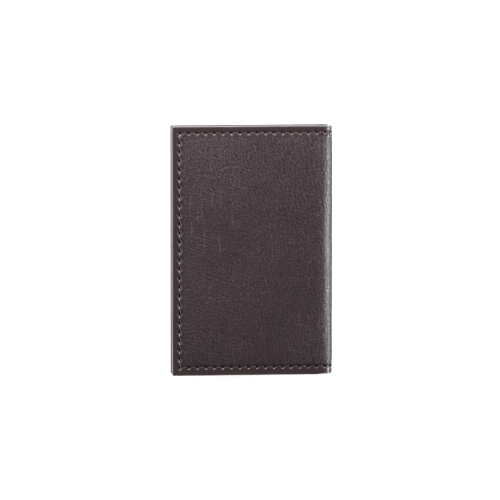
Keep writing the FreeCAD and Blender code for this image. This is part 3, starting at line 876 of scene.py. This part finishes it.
def lining(material):
    """Four pieces of lining, cut at the same places as the leather."""
    thick = BASE - SKIN
    low = LINING_INSET + thick / 2
    t_lines = lines(low - HALF_Y, (HALF_Y - low, 0.6))
    cover, strip = lines(low, (FLAT, 0.6), (S_STRIP, 0.3)), lines(S_STRIP, (S_MIDDLE, 0.3))
    for fold, s_lines in enumerate((cover, strip, strip, cover)):
        side = "back" if fold < 2 else "front"
        on_cover = s_lines is cover
        rolled = {"low_t", "high_t", "low_s"} if on_cover else {"low_t", "high_t"}
        sheet = Sheet(s_lines, t_lines, thick, rolled, 6, [s for s in s_lines if s > FLAT - 0.2])
        inward = seam_depth(sheet.s, sheet.t)
        loose = fade(sheet.s, CARD_MOUTH + 1, CARD_MOUTH + 4) * fade(inward, 0.5, 2)
        height = loose * (0.05 + 0.06 * noise(sheet.s * 2.2, sheet.t * 0.5, 6, SEED + 20))
        sheet.push(height - 0.06 * hill(inward, 0.4) * (sheet.s > CARD_MOUTH))
        name = FOLD_PIECES[fold] + ("_lining" if on_cover else "_bent_lining")
        made = sheet_object(name, sheet, material, inner_place(side, BASE), side == "back")
        bend(made, fold, "lining")


def pockets(material):
    """The panels of three pockets, and the hems that hold them and the window off what is below."""
    back_pocket = ("back_pocket", BASE, CARD_TOP, CARD_MOUTH)
    front_deep = ("front_deep", BASE, CARD_TOP, CARD_MOUTH)
    front_shallow = ("front_shallow", CARD_TOP, SHALLOW_TOP, SHALLOW_MOUTH)
    back_window = ("back_window", CARD_TOP, WINDOW_TOP, WINDOW_MOUTH)
    panels = (
        (back_pocket, "back_card_pocket", WINDOW_MOUTH),
        (front_deep, "front_deep_pocket", SHALLOW_MOUTH),
        (front_shallow, "front_shallow_pocket", 0),
    )
    for (name, _, top, mouth), node, free_from in panels:
        pocket_panel(name, node, top, mouth, free_from, material)
    for pocket in (back_pocket, back_window, front_deep, front_shallow):
        hem(*pocket, material)


# ---- materials ----
class Shader:
    """A node material under construction. Links are made by passing sockets as values."""

    def __init__(self, name):
        self.material = bpy.data.materials.new(name)
        self.material.use_nodes = True
        self.tree = self.material.node_tree
        self.surface = self.tree.nodes["Principled BSDF"]
        self.sheet = self.add("ShaderNodeAttribute", attribute_name="sheet").outputs["Vector"]

    def add(self, kind, inputs=None, **settings):
        """A new node, with its inputs by name or number and its settings."""
        node = self.tree.nodes.new(kind)
        for key, value in settings.items():
            setattr(node, key, value)
        for key, value in (inputs or {}).items():
            self.set(node, key, value)
        return node

    def set(self, node, key, value):
        """Links an input to a socket, or gives it a fixed value."""
        if isinstance(value, bpy.types.NodeSocket):
            self.tree.links.new(value, node.inputs[key])
        else:
            node.inputs[key].default_value = value

    def attribute(self, name):
        return self.add("ShaderNodeAttribute", attribute_name=name).outputs["Fac"]

    def vector(self, operation, a, b):
        return self.add("ShaderNodeVectorMath", {0: a, 1: b}, operation=operation).outputs[0]

    def scaled(self, x, y, z=1.0):
        """Sheet coordinates times a scale for each axis."""
        return self.vector("MULTIPLY", self.sheet, (x, y, z))

    def noise(self, scale, detail=3.0, vector=None, rough=0.5):
        inputs = {"Scale": scale, "Detail": detail, "Roughness": rough, "Vector": vector or self.sheet}
        return self.add("ShaderNodeTexNoise", inputs).outputs["Fac"]

    def cells(self, scale, vector):
        """Distance from the edges of a pattern of cells."""
        inputs = {"Scale": scale, "Vector": vector}
        settings = {"feature": "DISTANCE_TO_EDGE", "voronoi_dimensions": "2D"}
        return self.add("ShaderNodeTexVoronoi", inputs, **settings).outputs["Distance"]

    def warped(self, amount, scale, stretch=(1.0, 1.0)):
        """Sheet coordinates pushed about by noise, so that cells look grown rather than drawn."""
        colour = self.add("ShaderNodeTexNoise", {"Scale": scale, "Vector": self.sheet}).outputs["Color"]
        moved = self.vector("ADD", self.sheet, self.vector("MULTIPLY", colour, (amount,) * 3))
        return self.vector("MULTIPLY", moved, (*stretch, 1.0))

    def remap(self, value, low, high, to_low=0.0, to_high=1.0):
        inputs = {"Value": value, "From Min": low, "From Max": high, "To Min": to_low, "To Max": to_high}
        return self.add("ShaderNodeMapRange", inputs).outputs[0]

    def maths(self, operation, a, b=0.0):
        return self.add("ShaderNodeMath", {0: a, 1: b}, operation=operation).outputs[0]

    def times(self, a, b):
        return self.maths("MULTIPLY", a, b)

    def plus(self, a, b):
        return self.maths("ADD", a, b)

    def blend(self, factor, low, high):
        """A colour between two colours."""
        node = self.add("ShaderNodeMix", data_type="RGBA")
        for index, value in ((0, factor), (6, low), (7, high)):
            if isinstance(value, tuple):
                value = (*value, 1.0)
            self.set(node, index, value)
        return node.outputs[2]

    def bump(self, height, depth, normal=None):
        """Relief of a depth in millimetres where height goes from 0 to 1."""
        inputs = {"Height": height, "Distance": depth * MM, "Strength": 1.0}
        if normal:
            inputs["Normal"] = normal
        return self.add("ShaderNodeBump", inputs).outputs[0]

    def glance(self):
        """0 where a surface is seen squarely, 1 where it is seen nearly edge on and loses its gloss."""
        facing = self.add("ShaderNodeLayerWeight", {"Blend": 0.5}).outputs["Facing"]
        return self.remap(facing, 0.3, 0.7)

    def finish(self, **values):
        """Sets the surface's inputs by name, and returns the material."""
        for key, value in values.items():
            if isinstance(value, tuple) and len(value) == 3:
                value = (*value, 1.0)
            self.set(self.surface, key.replace("_", " "), value)
        return self.material


def outer_leather_material():
    """Dyed pebbled leather with rubbed edges, a painted highlight in the creases, a painted reflection on
    the sides and painted shade, nearly black, in the holes.
    """
    sh = Shader("outer_leather")
    edge = sh.attribute("edge")
    crease = sh.attribute("crease")
    inside = sh.remap(edge, SEAM + 0.2, SEAM + 2.0, 0.15, 1.0)
    large = sh.noise(0.06, 3.0)
    patch = sh.noise(0.3, 4.0)
    small = sh.cells(1.0, sh.warped(0.5, 1.3, (1.5, 2.1)))
    fine = sh.noise(5.0, 4.0, rough=0.65)
    colour = sh.blend(sh.remap(large, 0.35, 0.65), LEATHER_RED, LEATHER_BLUE)
    colour = sh.blend(sh.remap(patch, 0.3, 0.75, 0.0, 0.35), colour, LEATHER_DARK)
    # Painted highlight: the grain creases and wrinkles are painted pale.
    colour = sh.blend(sh.remap(crease, 0.34, 0.8, 0.0, 0.68), colour, LEATHER_CREASE_HIGHLIGHT)
    colour = sh.blend(sh.remap(edge, SEAM - 0.4, SEAM + 0.4, 0.6, 0.0), colour, LEATHER_BORDER)
    specks = sh.remap(sh.noise(1.6, 2.0), 0.66, 0.74, 0.0, 0.35)
    colour = sh.blend(sh.times(specks, inside), colour, LEATHER_SPECK)
    rubbed = sh.times(sh.remap(edge, 0.2, 1.1, 1.0, 0.0), sh.remap(patch, 0.4, 0.7, 0.1, 0.8))
    colour = sh.blend(rubbed, colour, LEATHER_WORN)
    # Painted reflection: the rolled sides are painted pale lavender grey.
    colour = sh.blend(sh.remap(edge, 0.1, 0.45, 0.9, 0.0), colour, LEATHER_EDGE_REFLECTION)
    # Painted shade: the needle holes are painted nearly black.
    colour = sh.blend(sh.remap(sh.attribute("pit"), 0.12, 0.45), colour, LEATHER_HOLE_SHADE)
    rough = sh.remap(fine, 0.3, 0.7, 0.27, 0.38)
    rough = sh.plus(rough, sh.remap(sh.attribute("pit"), 0.1, 0.4, 0.0, 0.6))
    lumps = sh.times(sh.remap(small, 0.0, 0.2), inside)
    normal = sh.bump(lumps, 0.035, sh.bump(fine, 0.022))
    glance = sh.times(sh.glance(), sh.remap(edge, 0.6, 1.4))
    rough = sh.plus(rough, sh.times(glance, 0.35))
    gloss = sh.remap(glance, 0.0, 1.0, *LEATHER_GLOSS)
    return sh.finish(Base_Color=colour, Roughness=rough, Normal=normal, IOR=1.5, Specular_IOR_Level=gloss)


def thread_material():
    """Twisted thread, with a painted glint where it bends out of its hole."""
    sh = Shader("sewing_thread")
    parts = sh.add("ShaderNodeSeparateXYZ", {0: sh.sheet})
    plies = sh.maths("SINE", sh.times(parts.outputs[1], PLY_WAVES))
    fibres = sh.noise(1.0, 3.0, sh.scaled(6.0, 40.0, 0.0))
    colour = sh.blend(sh.remap(fibres, 0.3, 0.7), THREAD_DARK, THREAD_LIGHT)
    # Painted glint: the thread is painted light where it leaves its hole, in place of a highlight.
    colour = sh.blend(sh.times(parts.outputs[2], 0.85), colour, THREAD_GLINT)
    normal = sh.bump(fibres, 0.03, sh.bump(plies, 0.03))
    sheen = {"Sheen_Weight": 0.3, "Sheen_Roughness": 0.35}
    return sh.finish(Base_Color=colour, Roughness=0.35, Normal=normal, **sheen)


def pocket_material():
    """Smoother, thinner leather of the same dye."""
    sh = Shader("pocket_leather")
    cells = sh.cells(2.2, sh.warped(0.4, 1.6))
    fine = sh.noise(7.0, 4.0, rough=0.6)
    patch = sh.noise(0.2, 4.0)
    colour = sh.blend(sh.remap(patch, 0.3, 0.7), LEATHER_BLUE, LEATHER_RED)
    colour = sh.blend(sh.remap(patch, 0.45, 0.75, 0.0, 0.5), colour, LEATHER_DARK)
    # Painted highlight: the grain creases of the pocket leather are painted pale.
    colour = sh.blend(sh.remap(sh.attribute("crease"), 0.4, 0.85, 0.0, 0.45), colour, LEATHER_CREASE_HIGHLIGHT)
    near_edge = sh.remap(sh.attribute("edge"), 0.0, 0.5, 0.8, 0.0)
    rubbed = sh.times(near_edge, sh.remap(fine, 0.35, 0.65, 0.3, 1.0))
    colour = sh.blend(rubbed, colour, LEATHER_WORN)
    normal = sh.bump(fine, 0.016, sh.bump(sh.remap(cells, 0.0, 0.2), 0.025))
    rough = sh.remap(fine, 0.3, 0.7, 0.42, 0.55)
    rough = sh.plus(rough, sh.times(sh.glance(), 0.25))
    gloss = sh.remap(sh.glance(), 0.0, 1.0, *LEATHER_GLOSS)
    return sh.finish(Base_Color=colour, Roughness=rough, Normal=normal, Specular_IOR_Level=gloss)


def lining_material():
    """A fine twill weave."""
    sh = Shader("lining_twill")
    parts = sh.add("ShaderNodeSeparateXYZ", {0: sh.warped(0.05, 1.5)})
    s, t = parts.outputs[0], parts.outputs[1]
    slant = sh.plus(s, sh.times(t, 1.4))
    twill = sh.maths("SINE", sh.times(slant, 14.0))
    weft = sh.maths("SINE", sh.times(t, 34.0))
    weave = sh.remap(sh.plus(twill, sh.times(weft, 0.6)), -1.6, 1.6)
    slub = sh.noise(1.0, 3.0, sh.scaled(0.4, 5.0))
    colour = sh.blend(weave, LINING_DARK, LINING_LIGHT)
    colour = sh.blend(sh.remap(slub, 0.4, 0.7, 0.0, 0.5), colour, LINING_DARK)
    normal = sh.bump(weave, 0.05, sh.bump(slub, 0.03))
    sheen = {"Sheen_Weight": 0.08, "Sheen_Roughness": 0.4}
    return sh.finish(Base_Color=colour, Roughness=0.78, Normal=normal, **sheen)


def board_material():
    """Grey pressed fibre board."""
    sh = Shader("fibre_board")
    place = sh.add("ShaderNodeTexCoord").outputs["Object"]
    flecks = sh.noise(2500.0, 4.0, place, 0.7)
    clumps = sh.noise(260.0, 3.0, place)
    colour = sh.blend(sh.remap(flecks, 0.35, 0.65), BOARD_DARK, BOARD_LIGHT)
    colour = sh.blend(sh.remap(clumps, 0.3, 0.8, 0.0, 0.4), colour, BOARD_DARK)
    return sh.finish(Base_Color=colour, Roughness=0.88, Normal=sh.bump(flecks, 0.06))


def film_material():
    """Clear soft film, with a few hairline scuffs."""
    sh = Shader("clear_film")
    scuffs = sh.noise(1.0, 4.0, sh.scaled(0.25, 3.5), 0.7)
    waves = sh.noise(0.12, 2.0)
    rough = sh.remap(scuffs, 0.45, 0.75, 0.05, 0.16)
    glass = {"Transmission_Weight": 1.0, "IOR": 1.1, "Specular_IOR_Level": 0.9}
    return sh.finish(Base_Color=FILM_TINT, Roughness=rough, Normal=sh.bump(waves, 0.1), **glass)


def paint_boards(material):
    """The stiffeners are plain board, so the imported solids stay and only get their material."""
    for node in ("back_stiffener", "front_stiffener"):
        board = frame["nodes"][node]
        board.data.materials.clear()
        board.data.materials.append(material)


# ---- stage ----
def area_light(name, place, size, radiance, colour=(1.0, 1.0, 1.0)):
    """A soft rectangular light of a given radiance, aimed at the wallet and not seen by the camera."""
    data = bpy.data.lights.new(name, "AREA")
    data.shape = "RECTANGLE"
    data.size, data.size_y = size
    data.energy = radiance * math.pi * size[0] * size[1]
    data.color = colour
    light = bpy.data.objects.new(name, data)
    light.location = place
    light.rotation_euler = (Vector() - Vector(place)).to_track_quat("-Z", "Y").to_euler()
    light.visible_camera = False
    bpy.context.scene.collection.objects.link(light)


def floor_material():
    """A white table that the camera, and shiny side faces, see brighter than it is lit."""
    sh = Shader("white_table")
    grit = sh.add("ShaderNodeTexNoise", {"Scale": 900.0, "Detail": 2.0}).outputs["Fac"]
    tone = sh.blend(grit, FLOOR_DARK, FLOOR_LIGHT)
    path = sh.add("ShaderNodeLightPath").outputs
    lift = sh.times(path["Is Camera Ray"], FLOOR_LIFT)
    lift = sh.plus(lift, sh.times(path["Is Glossy Ray"], FLOOR_GLEAM))
    glow = {"Emission_Color": (1.0, 1.0, 1.0), "Emission_Strength": lift}
    return sh.finish(Base_Color=tone, Roughness=0.7, **glow)


def make_floor():
    """A square table top, cut into a grid, just below the wallet."""
    count, half, drop = 24, 1500, 0.02
    across = np.linspace(-half, half, count)
    places = [(x, y, -drop) for x in across for y in across]
    faces = [face[::-1] for face in quads(count, count, ring=False)]
    make_mesh("table", places, faces, floor_material())


def make_world():
    """A dim surround that the camera sees as bright."""
    world = bpy.data.worlds.new("studio")
    world.use_nodes = True
    tree = world.node_tree
    background = tree.nodes["Background"]
    path = tree.nodes.new("ShaderNodeLightPath")
    strength = tree.nodes.new("ShaderNodeMapRange")
    strength.inputs["To Min"].default_value = WORLD_RADIANCE
    strength.inputs["To Max"].default_value = BACKDROP_RADIANCE
    tree.links.new(path.outputs["Is Camera Ray"], strength.inputs["Value"])
    tree.links.new(strength.outputs[0], background.inputs["Strength"])
    background.inputs["Color"].default_value = (*WORLD_TINT, 1.0)
    bpy.context.scene.world = world


def make_camera():
    """A long lens, so that the wallet's sides stay close to parallel."""
    data = bpy.data.cameras.new("camera")
    data.sensor_width = SENSOR
    data.lens = SENSOR * CAMERA_DISTANCE / VIEW_WIDTH
    data.clip_start, data.clip_end = 0.01, 20
    camera = bpy.data.objects.new("camera", data)
    camera.rotation_euler = (*CAMERA_TILT, 0.0)
    back = camera.rotation_euler.to_matrix() @ Vector((0, 0, CAMERA_DISTANCE))
    camera.location = Vector(CAMERA_AIM) + back
    bpy.context.scene.collection.objects.link(camera)
    bpy.context.scene.camera = camera


def make_lights():
    """Three softboxes up and to the left, two strips on the right and a weak fill from above."""
    area_light("corner_softbox", (-0.34, 0.34, 0.3), (0.8, 0.42), 1.9, (0.98, 0.97, 1.0))
    area_light("top_softbox", (-0.03, 0.28, 0.14), (0.5, 0.2), 7.0, (0.96, 0.95, 1.0))
    area_light("left_softbox", (-0.28, 0.04, 0.11), (0.3, 0.12), 7.2, (1.0, 0.99, 0.97))
    area_light("right_strip", (0.5, 0.0, 0.13), (0.24, 0.12), 34.0)
    area_light("upper_right_strip", (0.45, 0.0, 0.28), (0.14, 0.14), 4.0)
    area_light("overhead", (0.0, 0.0, 1.9), (1.6, 1.6), 0.1)


all_outer_leather(outer_leather_material())
sewing_thread = thread_material()
thread("outer", "needle_thread", outer_stitch, sewing_thread)
pocket_leather = pocket_material()
pockets(pocket_leather)
window_frame(pocket_leather)
window_film(film_material())
lining(lining_material())
thread("inner", "bobbin_thread", inner_stitch, sewing_thread)
paint_boards(board_material())
make_floor()
make_world()
make_lights()
make_camera()
bpy.context.scene.view_settings.view_transform = "Standard"
